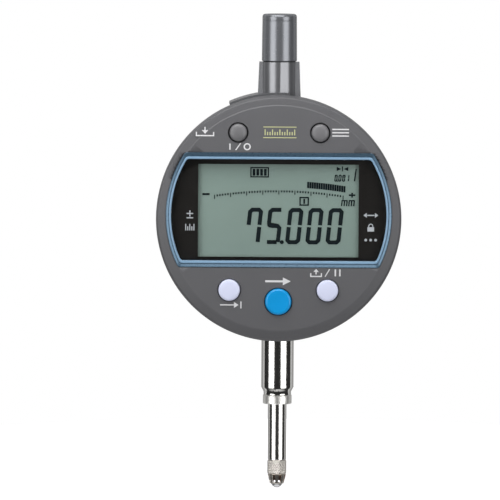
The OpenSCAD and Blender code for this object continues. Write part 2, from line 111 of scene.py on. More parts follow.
def shader(name):
    """A new node material, its tree and its Principled shader."""
    material = bpy.data.materials.new(name)
    material.use_nodes = True
    tree = material.node_tree
    return material, tree, tree.nodes["Principled BSDF"]


def place(tree, scale=(1, 1, 1)):
    """Object coordinates, stretched by scale."""
    coords = tree.nodes.new("ShaderNodeTexCoord")
    mapping = tree.nodes.new("ShaderNodeMapping")
    mapping.inputs["Scale"].default_value = scale
    tree.links.new(coords.outputs["Object"], mapping.inputs["Vector"])
    return mapping.outputs["Vector"]


def noise(tree, vector, scale, detail=3.0):
    """Soft noise; its values lie mostly between 0.3 and 0.7."""
    node = tree.nodes.new("ShaderNodeTexNoise")
    node.inputs["Scale"].default_value = scale
    node.inputs["Detail"].default_value = detail
    node.inputs["Roughness"].default_value = 0.6
    tree.links.new(vector, node.inputs["Vector"])
    return node.outputs["Fac"]


def rescaled(tree, value, from_low, from_high, to_low, to_high):
    """Maps one range of values onto another."""
    node = tree.nodes.new("ShaderNodeMapRange")
    node.inputs["From Min"].default_value = from_low
    node.inputs["From Max"].default_value = from_high
    node.inputs["To Min"].default_value = to_low
    node.inputs["To Max"].default_value = to_high
    tree.links.new(value, node.inputs["Value"])
    return node.outputs["Result"]


def spread(tree, value, low, high):
    """Noise from about 0.3 to 0.7 becomes low to high."""
    return rescaled(tree, value, 0.3, 0.7, low, high)


def two_tone(tree, value, colour, change):
    """The colour, made darker and lighter by value."""
    ramp = tree.nodes.new("ShaderNodeValToRGB")
    ramp.color_ramp.elements[0].position = 0.3
    ramp.color_ramp.elements[1].position = 0.7
    ramp.color_ramp.elements[0].color = [c * (1 - change) for c in colour] + [1]
    ramp.color_ramp.elements[1].color = [min(1, c * (1 + change)) for c in colour] + [1]
    tree.links.new(value, ramp.inputs["Fac"])
    return ramp.outputs["Color"]


def bump(tree, bsdf, height, distance, strength=1.0):
    """Relief from a height value, distance in millimetres."""
    node = tree.nodes.new("ShaderNodeBump")
    node.inputs["Strength"].default_value = strength
    node.inputs["Distance"].default_value = distance * MM
    tree.links.new(height, node.inputs["Height"])
    tree.links.new(node.outputs["Normal"], bsdf.inputs["Normal"])


def plastic(name, colour, roughness, grain=3500, depth=0.02, change=0.05, coat=0.0, metallic=0.0,
            shine=0.5, gloss_change=0.05):
    """Moulded plastic or paint: fine grain, slight clouding of colour and gloss."""
    material, tree, bsdf = shader(name)
    vector = place(tree)
    clouds = noise(tree, vector, 90)
    fine = noise(tree, vector, grain, 2.0)
    tree.links.new(two_tone(tree, clouds, colour, change), bsdf.inputs["Base Color"])
    gloss = spread(tree, fine, roughness - gloss_change, roughness + gloss_change)
    tree.links.new(gloss, bsdf.inputs["Roughness"])
    bsdf.inputs["Metallic"].default_value = metallic
    bsdf.inputs["Specular IOR Level"].default_value = shine
    bsdf.inputs["Coat Weight"].default_value = coat
    bsdf.inputs["Coat Roughness"].default_value = 0.18
    bump(tree, bsdf, fine, depth)
    return material


def metal(name, colour, roughness, stretch=(60, 60, 9000), depth=0.004):
    """Ground or turned metal: fine marks, closest together along the stretched direction."""
    material, tree, bsdf = shader(name)
    marks = noise(tree, place(tree, stretch), 1.0, 2.0)
    clouds = noise(tree, place(tree), 160)
    bsdf.inputs["Metallic"].default_value = 1.0
    tree.links.new(two_tone(tree, clouds, colour, 0.04), bsdf.inputs["Base Color"])
    tree.links.new(spread(tree, marks, roughness - 0.04, roughness + 0.06), bsdf.inputs["Roughness"])
    bump(tree, bsdf, marks, depth, 0.5)
    return material


def clear_window(name):
    """Clear sheet with a faint smoky tint."""
    material, tree, bsdf = shader(name)
    smears = noise(tree, place(tree), 120)
    tree.links.new(spread(tree, smears, 0.02, 0.06), bsdf.inputs["Roughness"])
    bsdf.inputs["Base Color"].default_value = (0.02, 0.02, 0.02, 1)
    bsdf.inputs["Alpha"].default_value = 0.08
    return material


def lcd_surface(name):
    """Grey-green reflective LCD with a faint grain and a soft sheen."""
    material, tree, bsdf = shader(name)
    vector = place(tree)
    colour = two_tone(tree, noise(tree, vector, 45), (0.250, 0.340, 0.304), 0.05)
    tree.links.new(colour, bsdf.inputs["Base Color"])
    grain = noise(tree, vector, 6000, 1.0)
    tree.links.new(spread(tree, grain, 0.4, 0.55), bsdf.inputs["Roughness"])
    bump(tree, bsdf, grain, 0.004)
    return material


MATERIALS = {
    "bezel_plastic": plastic("bezel_plastic", (0.098, 0.098, 0.104), 0.50, 5200, 0.014, 0.03, shine=0.35),
    "case_paint": plastic("case_paint", (0.185, 0.188, 0.198), 0.25, 3000, 0.0003, 0.03, metallic=0.6,
                          gloss_change=0.015),
    "cap_plastic": plastic("cap_plastic", (0.172, 0.178, 0.193), 0.26, 3000, 0.0003, 0.03, metallic=0.55,
                           gloss_change=0.015),
    "trim_blue": plastic("trim_blue", (0.20, 0.33, 0.47), 0.32, 3000, 0.004, 0.05),
    # Darker copy of the trim's blue for its sloping part: painted shade, not a second colour of the ring
    "trim_blue_painted_shade": plastic("trim_blue_painted_shade", (0.08, 0.14, 0.20), 0.30, 3000, 0.004, 0.05, metallic=0.5),
    "window_clear": clear_window("window_clear"),
    "window_print": plastic("window_print", (0.010, 0.009, 0.008), 0.45, 3000, 0.003, 0.1, shine=0.2),
    "lcd_cell": lcd_surface("lcd_cell"),
    "lcd_ink": plastic("lcd_ink", (0.006, 0.012, 0.015), 0.5, 4000, 0.002, 0.1, shine=0.1),
    "button_grey": plastic("button_grey", (0.135, 0.134, 0.140), 0.42, 3600, 0.006, 0.04),
    "button_white": plastic("button_white", (0.62, 0.65, 0.82), 0.38, 3600, 0.006, 0.02, shine=0.3),
    "button_blue": plastic("button_blue", (0.003, 0.275, 0.630), 0.32, 3600, 0.006, 0.04, shine=0.4),
    "print_white": plastic("print_white", (0.62, 0.62, 0.63), 0.5, 4000, 0.004, 0.03),
    "print_lime": plastic("print_lime", (0.46, 0.47, 0.24), 0.5, 4000, 0.004, 0.03),
    "print_grey": plastic("print_grey", (0.46, 0.49, 0.52), 0.5, 4000, 0.004, 0.03),
    "steel": metal("steel", (0.72, 0.71, 0.69), 0.11),
    "spindle_steel": metal("spindle_steel", (0.72, 0.71, 0.69), 0.17),
    "ring_steel": metal("ring_steel", (0.84, 0.83, 0.80), 0.40, (300, 300, 3000)),
    "knurl_steel": metal("knurl_steel", (0.78, 0.74, 0.69), 0.30, (300, 300, 3000), 0.006),
    # Dark brownish steel for the grooves of the contact's fluted cone: painted shade in the flutes
    "flute_painted_shade": metal("flute_painted_shade", (0.24, 0.18, 0.145), 0.35, (300, 300, 3000), 0.004),
    "carbide": metal("carbide", (0.60, 0.60, 0.62), 0.10, (400, 400, 400), 0.002),
    "hidden_steel": metal("hidden_steel", (0.60, 0.60, 0.60), 0.30, (2000, 2000, 2000), 0.006),
    "bronze": metal("bronze", (0.62, 0.42, 0.18), 0.30, (1500, 1500, 4000), 0.006),
    "rubber_black": plastic("rubber_black", (0.018, 0.018, 0.019), 0.75, 2500, 0.03, 0.15),
    "inner_black": plastic("inner_black", (0.025, 0.025, 0.027), 0.55, 3000, 0.012, 0.1),
    "inner_white": plastic("inner_white", (0.66, 0.66, 0.63), 0.5, 3000, 0.012, 0.03),
    "board_green": plastic("board_green", (0.015, 0.110, 0.045), 0.35, 1800, 0.02, 0.12, coat=0.4),
    "cable_amber": plastic("cable_amber", (0.42, 0.15, 0.02), 0.3, 2500, 0.004, 0.08, coat=0.3),
    "scale_glass": plastic("scale_glass", (0.55, 0.60, 0.63), 0.12, 2500, 0.002, 0.05, coat=0.5),
}


# ---- Mesh tools ----

def metres_mesh(name, bm):
    """Turns a bmesh in millimetres, with its faces looking outwards, into a mesh in metres."""
    bmesh.ops.recalc_face_normals(bm, faces=bm.faces)
    mesh = bpy.data.meshes.new(name)
    bm.to_mesh(mesh)
    bm.free()
    mesh.transform(((MM, 0, 0, 0), (0, MM, 0, 0), (0, 0, MM, 0), (0, 0, 0, 1)))
    return mesh


def add_object(name, bm, material, body, sharp_deg=32, flat_weight=True):
    """Makes the bmesh, in millimetres, an object that rides on a body and takes its finish from a slot."""
    obj = bpy.data.objects.new(name, metres_mesh(name, bm))
    bpy.context.scene.collection.objects.link(obj)
    finish_object(obj, material, body, sharp_deg, flat_weight)
    return obj


def finish_object(obj, material, body, sharp_deg=32, flat_weight=True):
    """Shading, material, body and slot."""
    mesh = obj.data
    for polygon in mesh.polygons:
        polygon.use_smooth = True
    mesh.set_sharp_from_angle(angle=math.radians(sharp_deg))
    if mesh.materials:
        mesh.materials.clear()
    mesh.materials.append(MATERIALS[material])
    if flat_weight:
        modifier = obj.modifiers.new("flat_faces_first", "WEIGHTED_NORMAL")
        modifier.keep_sharp = True
        modifier.weight = 90
    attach(obj, body)


def circle_points(count):
    """Points round a circle of radius 1."""
    return [(math.cos(2 * math.pi * i / count), math.sin(2 * math.pi * i / count)) for i in range(count)]


def skin(bm, rings, closed=False):
    """Joins rings of vertices by quads. A closed skin also joins the last ring to the first."""
    pairs = list(zip(rings, rings[1:]))
    if closed:
        pairs.append((rings[-1], rings[0]))
    for a, b in pairs:
        for i in range(len(a)):
            j = (i + 1) % len(a)
            bm.faces.new((a[i], a[j], b[j], b[i]))


def closed_skin(bm, rings):
    """A skin with a face over its first ring and one over its last."""
    skin(bm, rings)
    bm.faces.new(rings[0])
    bm.faces.new(rings[-1])


def lathe(bm, profile, centre, along, count):
    """Turns a profile of (radius, height) points about an axis through centre, along y or z."""
    rings = []
    for radius, height in profile:
        ring = []
        for c, s in circle_points(count):
            u, v = centre[0] + radius * c, centre[1] + radius * s
            ring.append(bm.verts.new((u, v, height) if along == "z" else (u, height, v)))
        rings.append(ring)
    closed_skin(bm, rings)


def corner_curve(start, corner, end, steps=6):
    """Points of a smooth curve from start to end that bends towards the corner."""
    start, corner, end = Vector(start), Vector(corner), Vector(end)
    points = []
    for k in range(steps + 1):
        t = k / steps
        points.append(tuple(start * (1 - t) ** 2 + corner * 2 * t * (1 - t) + end * t ** 2))
    return points


def rounded(corners, radii, steps):
    """A profile with its corners rounded: each corner is replaced by a smooth curve of its own radius."""
    points = []
    for i, corner in enumerate(corners):
        radius = radii[i]
        if radius == 0 or i in (0, len(corners) - 1):
            points.append(tuple(corner))
            continue
        here, back, ahead = Vector(corner), Vector(corners[i - 1]), Vector(corners[i + 1])
        start = here + (back - here).normalized() * min(radius, (back - here).length * 0.49)
        end = here + (ahead - here).normalized() * min(radius, (ahead - here).length * 0.49)
        points += corner_curve(start, here, end, steps)
    return points


def barrel(radius, low, high, corner=0.0, side_steps=40):
    """Outline with a flat top and bottom and round sides, anticlockwise seen from the front."""
    a0 = math.asin((low + corner - BARREL_Z) / radius)
    a1 = math.asin((high - corner - BARREL_Z) / radius)
    right = []
    for k in range(side_steps + 1):
        a = a0 + (a1 - a0) * k / side_steps
        right.append((radius * math.cos(a), BARREL_Z + radius * math.sin(a)))
    if corner:
        low_x = math.sqrt(radius ** 2 - (low - BARREL_Z) ** 2)
        high_x = math.sqrt(radius ** 2 - (high - BARREL_Z) ** 2)
        low_curve = corner_curve((low_x - corner, low), (low_x, low), right[0])
        high_curve = corner_curve(right[-1], (high_x, high), (high_x - corner, high))
        right = low_curve[:-1] + right + high_curve[1:]
    left = [(-x, z) for x, z in reversed(right)]
    return right + left


def face_ring(bm, outline, y):
    """Vertices of an outline on the face, at depth y."""
    return [bm.verts.new((x, y, DISC_Z + z)) for x, z in outline]


def prism(bm, outline, y0, y1):
    """Closed prism from an outline on the face."""
    closed_skin(bm, [face_ring(bm, outline, y0), face_ring(bm, outline, y1)])


def ribbon(bm, points, width, y0, y1, closed=False):
    """Closed prism along a line on the face, with mitred joints."""
    n = len(points)
    lefts, rights = [], []
    for i in range(n):
        here = Vector(points[i])
        back = Vector(points[i - 1]) if i or closed else None
        ahead = Vector(points[(i + 1) % n]) if i < n - 1 or closed else None
        directions = [(here - back).normalized()] if back is not None else []
        if ahead is not None:
            directions.append((ahead - here).normalized())
        along = sum(directions, Vector((0, 0))).normalized()
        side = Vector((-along.y, along.x))
        normal = Vector((-directions[0].y, directions[0].x))
        reach = width / 2 / max(0.35, side.dot(normal))
        lefts.append(tuple(here + side * reach))
        rights.append(tuple(here - side * reach))
    if not closed:
        prism(bm, lefts + rights[::-1], y0, y1)
        return
    outer_front, inner_front = face_ring(bm, lefts, y0), face_ring(bm, rights, y0)
    outer_back, inner_back = face_ring(bm, lefts, y1), face_ring(bm, rights, y1)
    skin(bm, [outer_front, inner_front, inner_back, outer_back], closed=True)


def arc(x, z, radius, start_deg, end_deg, steps=16):
    """Points on a circle round (x, z), angles anticlockwise from the right."""
    points = []
    for k in range(steps + 1):
        a = math.radians(start_deg + (end_deg - start_deg) * k / steps)
        points.append((x + radius * math.cos(a), z + radius * math.sin(a)))
    return points


def disc(x, z, radius, steps=20):
    """Outline of a circle."""
    return arc(x, z, radius, 0, 360 - 360 / steps, steps - 1)


def cut(target, cutter_bm):
    """Takes the cutter's shape out of the target's mesh for good."""
    cutter = bpy.data.objects.new("cutter", metres_mesh("cutter", cutter_bm))
    bpy.context.scene.collection.objects.link(cutter)
    modifier = target.modifiers.new("cut", "BOOLEAN")
    modifier.operation = "DIFFERENCE"
    modifier.solver = "EXACT"
    modifier.object = cutter
    bpy.context.view_layer.update()
    result = bpy.data.meshes.new_from_object(target.evaluated_get(bpy.context.evaluated_depsgraph_get()))
    target.modifiers.remove(modifier)
    old = target.data
    target.data = result
    bpy.data.meshes.remove(old)
    bpy.data.objects.remove(cutter)


def finished(node, material, body, edge_mm):
    """A copy of a CAD node with its edges rounded, which stands for the node."""
    mesh = frame["nodes"][node].data.copy()
    obj = bpy.data.objects.new(node + "_finished", mesh)
    bpy.context.scene.collection.objects.link(obj)
    bm = bmesh.new()
    bm.from_mesh(mesh)
    bmesh.ops.remove_doubles(bm, verts=bm.verts, dist=1e-6)
    bmesh.ops.dissolve_limit(bm, angle_limit=math.radians(0.6), verts=bm.verts, edges=bm.edges)
    bm.to_mesh(mesh)
    bm.free()
    bevel = obj.modifiers.new("edges", "BEVEL")
    bevel.width = edge_mm * MM
    bevel.segments = 2
    bevel.limit_method = "ANGLE"
    bevel.angle_limit = math.radians(35)
    bevel.use_clamp_overlap = True
    finish_object(obj, material, body, 40)
    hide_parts(node)


# ---- Display unit ----

def bezel():
    """Front bezel: the flat of its face is a circle set a little above the middle. The step round it is
    crisp at the top and fades out at the bottom, where the sloping rim is wider and falls away further."""
    flat_r, flat_up, wall = DISC_R - 2.6, 0.3, 2.4
    # Radius, how far the circle is shifted up, and depth at the bottom and at the top of the disc
    corners = [
        (DISC_R - wall, 0, DISC_BACK_Y, DISC_BACK_Y), (DISC_R, 0, DISC_BACK_Y, DISC_BACK_Y),
        (DISC_R, 0, FACE_Y + 1.5, FACE_Y + 1.0), (DISC_R - 0.45, 0.1, FACE_Y + 0.75, FACE_Y + 0.34),
        (flat_r + 0.34, flat_up, FACE_Y + 0.05, FACE_Y + 0.24), (flat_r, flat_up, FACE_Y, FACE_Y),
        (flat_r - 3, flat_up, FACE_Y, FACE_Y),
    ]
    bm = bmesh.new()
    rings = []
    for radius, up, low_y, high_y in rounded(corners, [0, 0.3, 0.3, 0.25, 0.06, 0.06, 0], 6):
        ring = []
        for c, s in circle_points(192):
            y = low_y + (high_y - low_y) * (1 + s) / 2
            ring.append(bm.verts.new((radius * c, y, DISC_Z + up + radius * s)))
        rings.append(ring)
    skin(bm, rings)
    inner_r, inside_y = DISC_R - wall, FACE_Y + 2
    inside = [bm.verts.new((inner_r * c, inside_y, DISC_Z + inner_r * s)) for c, s in circle_points(192)]
    skin(bm, [inside, rings[0]])
    bm.faces.new(rings[-1])
    bm.faces.new(inside)
    obj = add_object("bezel", bm, "bezel_plastic", "display_unit", 40)
    cut(obj, window_cutter())
    for node in BUTTONS:
        cut(obj, button_cutter(node))
    finish_object(obj, "bezel_plastic", "display_unit", 40, False)
    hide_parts("front_bezel")


def window_cutter():
    """Opening for the trim ring, with a small lip at the front."""
    bm = bmesh.new()
    lip = 0.12
    corner = 0.7
    outline = barrel(TRIM_R, TRIM_BOTTOM, TRIM_TOP, corner)
    wide = barrel(TRIM_R + lip, TRIM_BOTTOM - lip, TRIM_TOP + lip, corner)
    sections = ((wide, FACE_Y - 1), (wide, FACE_Y - 0.02), (outline, FACE_Y + lip), (outline, FACE_Y + 4))
    closed_skin(bm, [face_ring(bm, shape, y) for shape, y in sections])
    return bm


BUTTONS = {
    "upper_left_button": "button_grey",
    "upper_right_button": "button_grey",
    "lower_left_button": "button_white",
    "lower_right_button": "button_white",
    "middle_button": "button_blue",
}
BUTTON_GAPS = {"button_grey": 0.31, "button_white": 0.16, "button_blue": 0.16}
BUTTON_FLANGE = 0.9
BUTTON_SIDES = 72

# Rounding of each cap from near its middle to its edge: share of the radius, depth behind the cap's front
BUTTON_CROWNS = {
    "button_grey": ((0.35, 0.03), (0.62, 0.12), (0.82, 0.26), (0.94, 0.44), (1, 0.72)),
    "button_white": ((0.5, 0.08), (0.80, 0.14), (0.92, 0.22), (0.98, 0.34), (1, 0.5)),
    "button_blue": ((0.55, 0.10), (0.80, 0.04), (0.86, 0.05), (0.95, 0.22), (1, 0.42)),
}
# Depth of each cap's middle behind its front
BUTTON_MIDDLES = {"button_grey": 0, "button_white": 0.05, "button_blue": 0.12}


def button_place(node):
    """Middle (x, z in the row's frame), cap radius and front of a button."""
    low, high = box_mm(node)
    return (low.x + high.x) / 2, (low.z + high.z) / 2, (high.x - low.x) / 2 - BUTTON_FLANGE, low.y


def button_cutter(node):
    """Hole for a button, with a small lip at the front."""
    x, z, radius, _ = button_place(node)
    hole = radius + BUTTON_GAPS[BUTTONS[node]]
    lip = 0.14
    wide = hole + lip
    profile = [(wide, FACE_Y - 1), (wide, FACE_Y - 0.02), (hole, FACE_Y + lip), (hole, FACE_Y + 4)]
    bm = bmesh.new()
    lathe(bm, profile, (x, z), "y", BUTTON_SIDES)
    return bm


def buttons():
    """Caps: the grey ones are domes, the white ones flatter, the blue one has a sloping rim."""
    flange_y = FACE_Y + 2.05
    flange_back_y = flange_y + 0.8
    post_r = 1.2
    for node, material in BUTTONS.items():
        x, z, radius, front = button_place(node)
        back = box_mm(node)[1].y
        flange_r = radius + BUTTON_FLANGE
        crown = [(0.01, front + BUTTON_MIDDLES[material])]
        crown += [(radius * share, front + depth) for share, depth in BUTTON_CROWNS[material]]
        shank = [(radius, flange_y), (flange_r, flange_y), (flange_r, flange_back_y),
                 (post_r, flange_back_y), (post_r, back)]
        bm = bmesh.new()
        lathe(bm, crown + shank, (x, z), "y", BUTTON_SIDES)
        obj = add_object(node + "_cap", bm, material, node, 45)
        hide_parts(node)


def trim():
    """Blue ring round the window: it slopes in from the face to a groove, then rises to a bright lip. The
    slope carries painted shade, a darker copy of the blue; the lip keeps the lighter blue.
    """
    sections = [
        (TRIM_R, TRIM_BOTTOM, TRIM_TOP, FACE_Y + 1.9), (TRIM_R, TRIM_BOTTOM, TRIM_TOP, FACE_Y - 0.02),
        (TRIM_R - 0.08, TRIM_BOTTOM + 0.08, TRIM_TOP - 0.08, FACE_Y - 0.10),
        (TRIM_R - 0.16, TRIM_BOTTOM + 0.16, TRIM_TOP - 0.16, FACE_Y - 0.09),
        (WINDOW_R + 0.56, WINDOW_BOTTOM - 0.70, WINDOW_TOP + 0.62, FACE_Y + 0.22),
        (WINDOW_R + 0.50, WINDOW_BOTTOM - 0.64, WINDOW_TOP + 0.56, FACE_Y + 0.18),
        (WINDOW_R + 0.47, WINDOW_BOTTOM - 0.60, WINDOW_TOP + 0.52, FACE_Y - 0.01),
        (WINDOW_R + 0.41, WINDOW_BOTTOM - 0.54, WINDOW_TOP + 0.46, FACE_Y - 0.06),
        (WINDOW_R + 0.10, WINDOW_BOTTOM - 0.12, WINDOW_TOP + 0.12, FACE_Y - 0.05),
        (WINDOW_R, WINDOW_BOTTOM, WINDOW_TOP, FACE_Y + 0.05),
        (WINDOW_R, WINDOW_BOTTOM, WINDOW_TOP, FACE_Y + 1.9),
    ]
    bm = bmesh.new()
    rings = [face_ring(bm, barrel(r, low, high, 0.6), y) for r, low, high, y in sections]
    skin(bm, rings, closed=True)
    # The first five strips, the slope, take the darker blue as painted shade; the rest keeps the lighter blue
    slope_faces = 5 * len(rings[0])
    for i, face in enumerate(bm.faces):
        face.material_index = 1 if i < slope_faces else 0
    obj = add_object("trim", bm, "trim_blue", "display_unit", 50)
    obj.data.materials.append(MATERIALS["trim_blue_painted_shade"])
    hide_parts("trim_ring")


def window():
    """Clear window with a softly rounded edge. The black print behind it is the CAD's window_mask."""
    gap = 0.02
    front_y = window_low.y
    sections = ((gap, window_high.y), (gap, front_y + 0.3), (gap + 0.1, front_y + 0.08), (gap + 0.3, front_y))
    bm = bmesh.new()
    rings = []
    for inset, y in sections:
        outline = barrel(WINDOW_R - inset, WINDOW_BOTTOM + inset, WINDOW_TOP - inset, 0.5)
        rings.append(face_ring(bm, outline, y))
    closed_skin(bm, rings)
    obj = add_object("window", bm, "window_clear", "display_unit")
    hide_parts("display_window")


# ---- Printed marks ----

# Strokes of each figure as lines through its box, 0 to 1 across and up
FIGURE_STROKES = {
    "0": [[(0, 0.53), (0, 1), (1, 1), (1, 0.53)], [(0, 0.47), (0, 0), (1, 0), (1, 0.47)]],
    "1": [[(1, 1), (1, 0.53)], [(1, 0.47), (1, 0)]],
    "5": [[(1, 1), (0, 1), (0, 0.54), (0.16, 0.5), (1, 0.5), (1, 0)], [(0.9, 0), (0, 0)]],
    "7": [[(0, 0.53), (0, 1), (1, 1), (1, 0.53)], [(1, 0.47), (1, 0)]],
}


def softened(points, size):
    """A line with each of its corners cut off by size."""
    result = [points[0]]
    for before, here, after in zip(points, points[1:], points[2:]):
        back, ahead = Vector(before) - Vector(here), Vector(after) - Vector(here)
        result.append(tuple(Vector(here) + back.normalized() * min(size, back.length / 3)))
        result.append(tuple(Vector(here) + ahead.normalized() * min(size, ahead.length / 3)))
    return result + [points[-1]]


def lcd_figure(bm, figure, x, z, width, height, thick, slant, y0, y1):
    """One leaning figure made of strokes; (x, z) is its lower left corner."""
    for stroke in FIGURE_STROKES[figure]:
        line = []
        for across, up in stroke:
            px, pz = thick / 2 + across * (width - thick), thick / 2 + up * (height - thick)
            line.append((x + px + slant * pz, z + pz))
        ribbon(bm, softened(line, thick * 0.5), thick, y0, y1)


def lcd():
    """LCD glass with a narrower front part and a small chamfer, and everything lit on it."""
    low, high = box_mm("lcd_panel")
    step_y = low.y + 0.9
    sections = [(0, high.y), (0, step_y), (0.6, step_y), (0.6, low.y + 0.1), (0.7, low.y)]
    bm = bmesh.new()
    rings = []
    for shrink, y in sections:
        left, right = low.x + shrink, high.x - shrink
        bottom, top = low.z - DISC_Z + shrink, high.z - DISC_Z - shrink
        rings.append(face_ring(bm, [(left, bottom), (right, bottom), (right, top), (left, top)], y))
    closed_skin(bm, rings)
    obj = add_object("lcd", bm, "lcd_cell", "display_unit")
    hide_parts("lcd_panel")
    lcd_marks()


def lcd_marks():
    """Everything lit on the LCD: reading, tick scale, small value, charge level, unit and a small sign."""
    y1 = LCD_Y - 0.02
    y0 = y1 - 0.05
    bm = bmesh.new()
    reading(bm, y0, y1)
    tick_scale(bm, y0, y1)
    small_value(bm, y0, y1)
    level_sign(bm, y0, y1)
    unit_letters(bm, y0, y1)
    ribbon(bm, [(5.2, 3.4), (7.2, 3.4), (7.2, 5.25), (5.2, 5.25)], 0.34, y0, y1, closed=True)
    ribbon(bm, [(6.2, 3.7), (6.2, 4.95)], 0.42, y0, y1)
    add_object("lcd_marks", bm, "lcd_ink", "display_unit")


def reading(bm, y0, y1):
    """Five large figures with a point after the second one."""
    figure_w, figure_h, thick, slant, pitch = 3.65, 8.9, 1.0, 0.105, 4.93
    right, base = 15.05, -6.2
    for i, figure in enumerate("75000"):
        x = right - figure_w - pitch * (4 - i)
        lcd_figure(bm, figure, x, base, figure_w, figure_h, thick, slant, y0, y1)
    point = right - 3 * pitch + (pitch - figure_w) / 2 - 0.1
    prism(bm, disc(point, base + 0.5, 0.5), y0, y1)


def small_value(bm, y0, y1):
    """Size of the smallest step with a bar after it, and two points that meet at a line above it."""
    for i, figure in enumerate("0001"):
        lcd_figure(bm, figure, 13.5 + i * 0.95, 9.2, 0.72, 1.7, 0.26, 0.1, y0, y1)
    prism(bm, disc(14.32, 9.3, 0.15, 10), y0, y1)
    ribbon(bm, [(18.45, 9.3), (18.85, 12.3)], 0.32, y0, y1)
    middle = 15.5
    for side in (-1, 1):
        tip = middle + side * 0.3
        prism(bm, [(tip, 12.3), (tip + side * 1.1, 11.8), (tip + side * 1.1, 12.8)], y0, y1)
    ribbon(bm, [(middle, 11.7), (middle, 12.95)], 0.24, y0, y1)


def unit_letters(bm, y0, y1):
    """Millimetre sign: two letters of two arches each."""
    low, high = 3.2, 4.55
    width = 0.3
    for x in (15.35, 17.1):
        ribbon(bm, [(x, low), (x + 0.12, high), (x + 0.72, high), (x + 0.6, low)], width, y0, y1)
        ribbon(bm, [(x + 0.85, high), (x + 1.35, high), (x + 1.22, low)], width, y0, y1)


def tick_scale(bm, y0, y1):
    """Ticks on a flat arc, every sixth one long, a minus and a plus at its ends and a bar above it."""
    half_span, rise, end_z = 15.7, 1.2, 5.8
    radius = (half_span ** 2 + rise ** 2) / (2 * rise)
    centre = end_z + rise - radius
    ticks = 48
    for k in range(ticks + 1):
        x = -half_span + 2 * half_span * k / ticks
        z = centre + math.sqrt(radius ** 2 - x ** 2)
        long_tick = k % 6 == 0
        drop = 1.05 if long_tick else 0.5
        half = 0.11 if long_tick else 0.17
        prism(bm, [(x - half, z - drop), (x + half, z - drop), (x + half, z), (x - half, z)], y0, y1)
    ribbon(bm, [(-18.7, 5.95), (-16.9, 5.95)], 0.5, y0, y1)
    ribbon(bm, [(17.1, 5.9), (18.7, 5.9)], 0.4, y0, y1)
    ribbon(bm, [(17.9, 5.3), (17.9, 5.68)], 0.4, y0, y1)
    ribbon(bm, [(17.9, 6.12), (17.9, 6.5)], 0.4, y0, y1)
    bars = 17
    for k in range(bars):
        x = 6.9 + k * 0.555
        z = centre + math.sqrt(radius ** 2 - x ** 2) + 0.78
        prism(bm, [(x, z), (x + 0.48, z), (x + 0.48, z + 1.55), (x, z + 1.55)], y0, y1)


def level_sign(bm, y0, y1):
    """A framed sign with bars, like a charge level."""
    left, right, low, high = -6.85, -2.6, 10.25, 12.5
    ribbon(bm, [(left, low), (right, low), (right, high), (left, high)], 0.3, y0, y1, closed=True)
    for k in range(4):
        x = left + 0.42 + k * 0.92
        prism(bm, [(x, low + 0.3), (x + 0.66, low + 0.3), (x + 0.66, high - 0.3), (x, high - 0.3)], y0, y1)


SIGN_WIDTH = 0.3


def face_signs():
    """Plain signs beside the buttons, in place of words."""
    y0, y1 = FACE_Y - 0.03, FACE_Y + 0.01
    bm = bmesh.new()
    upper_signs(bm, y0, y1)
    lower_signs(bm, y0, y1)
    add_object("face_signs", bm, "print_white", "display_unit")
    bm = bmesh.new()
    rule_sign(bm, y0, y1)
    add_object("rule_sign", bm, "print_lime", "display_unit")


def upper_signs(bm, y0, y1):
    """Signs by the two grey buttons."""
    w = SIGN_WIDTH
    # Tray with an arrow into it, left of the upper left button
    ribbon(bm, [(-20.2, 21.3), (-20.2, 20.4), (-16.0, 20.4), (-16.0, 21.3)], w, y0, y1)
    ribbon(bm, [(-18.1, 22.5), (-18.1, 21.7)], w, y0, y1)
    prism(bm, [(-18.9, 21.75), (-18.1, 20.85), (-17.3, 21.75)], y0, y1)
    # Line and ring for on and off, under the same button
    ribbon(bm, [(-12.0, 17.0), (-12.0, 18.5)], w, y0, y1)
    ribbon(bm, [(-10.6, 16.9), (-9.4, 18.6)], w * 0.8, y0, y1)
    ribbon(bm, disc(-7.8, 17.75, 0.72, 24), w, y0, y1, closed=True)
    # Three lines, right of the upper right button
    for z in (20.5, 21.3, 22.1):
        ribbon(bm, [(12.9, z), (17.0, z)], w, y0, y1)


def lower_signs(bm, y0, y1):
    """Signs by the white and blue buttons."""
    w = SIGN_WIDTH
    # Long arrow over the middle button
    ribbon(bm, [(-3.2, -15.1), (1.2, -15.1)], w * 1.6, y0, y1)
    prism(bm, [(1.1, -16.05), (3.0, -15.1), (1.1, -14.15)], y0, y1)
    # Arrow out of a tray, a slanting line and two bars, over the lower right button
    ribbon(bm, [(7.9, -13.05), (7.9, -13.85), (10.5, -13.85), (10.5, -13.05)], w, y0, y1)
    ribbon(bm, [(9.2, -13.35), (9.2, -12.75)], w, y0, y1)
    prism(bm, [(8.55, -12.75), (9.85, -12.75), (9.2, -12.0)], y0, y1)
    ribbon(bm, [(11.4, -13.9), (12.5, -12.05)], w * 0.8, y0, y1)
    for x in (13.9, 15.0):
        ribbon(bm, [(x, -13.8), (x, -12.1)], w * 1.2, y0, y1)
    # Arrow to a line, under the lower left button
    ribbon(bm, [(-14.2, -20.95), (-10.7, -20.95)], w, y0, y1)
    prism(bm, [(-10.8, -21.7), (-9.7, -20.95), (-10.8, -20.2)], y0, y1)
    ribbon(bm, [(-9.1, -21.8), (-9.1, -20.1)], w, y0, y1)


def rule_sign(bm, y0, y1):
    """A short rule between two lines, in the middle of the upper face."""
    for z in (20.0, 22.6):
        ribbon(bm, [(-3.9, z), (4.2, z)], 0.2, y0, y1)
    for k in range(13):
        x = -3.45 + k * 0.6
        top = 22.0 if k % 3 == 0 else 21.4
        ribbon(bm, [(x, 20.6), (x, top)], 0.26, y0, y1)


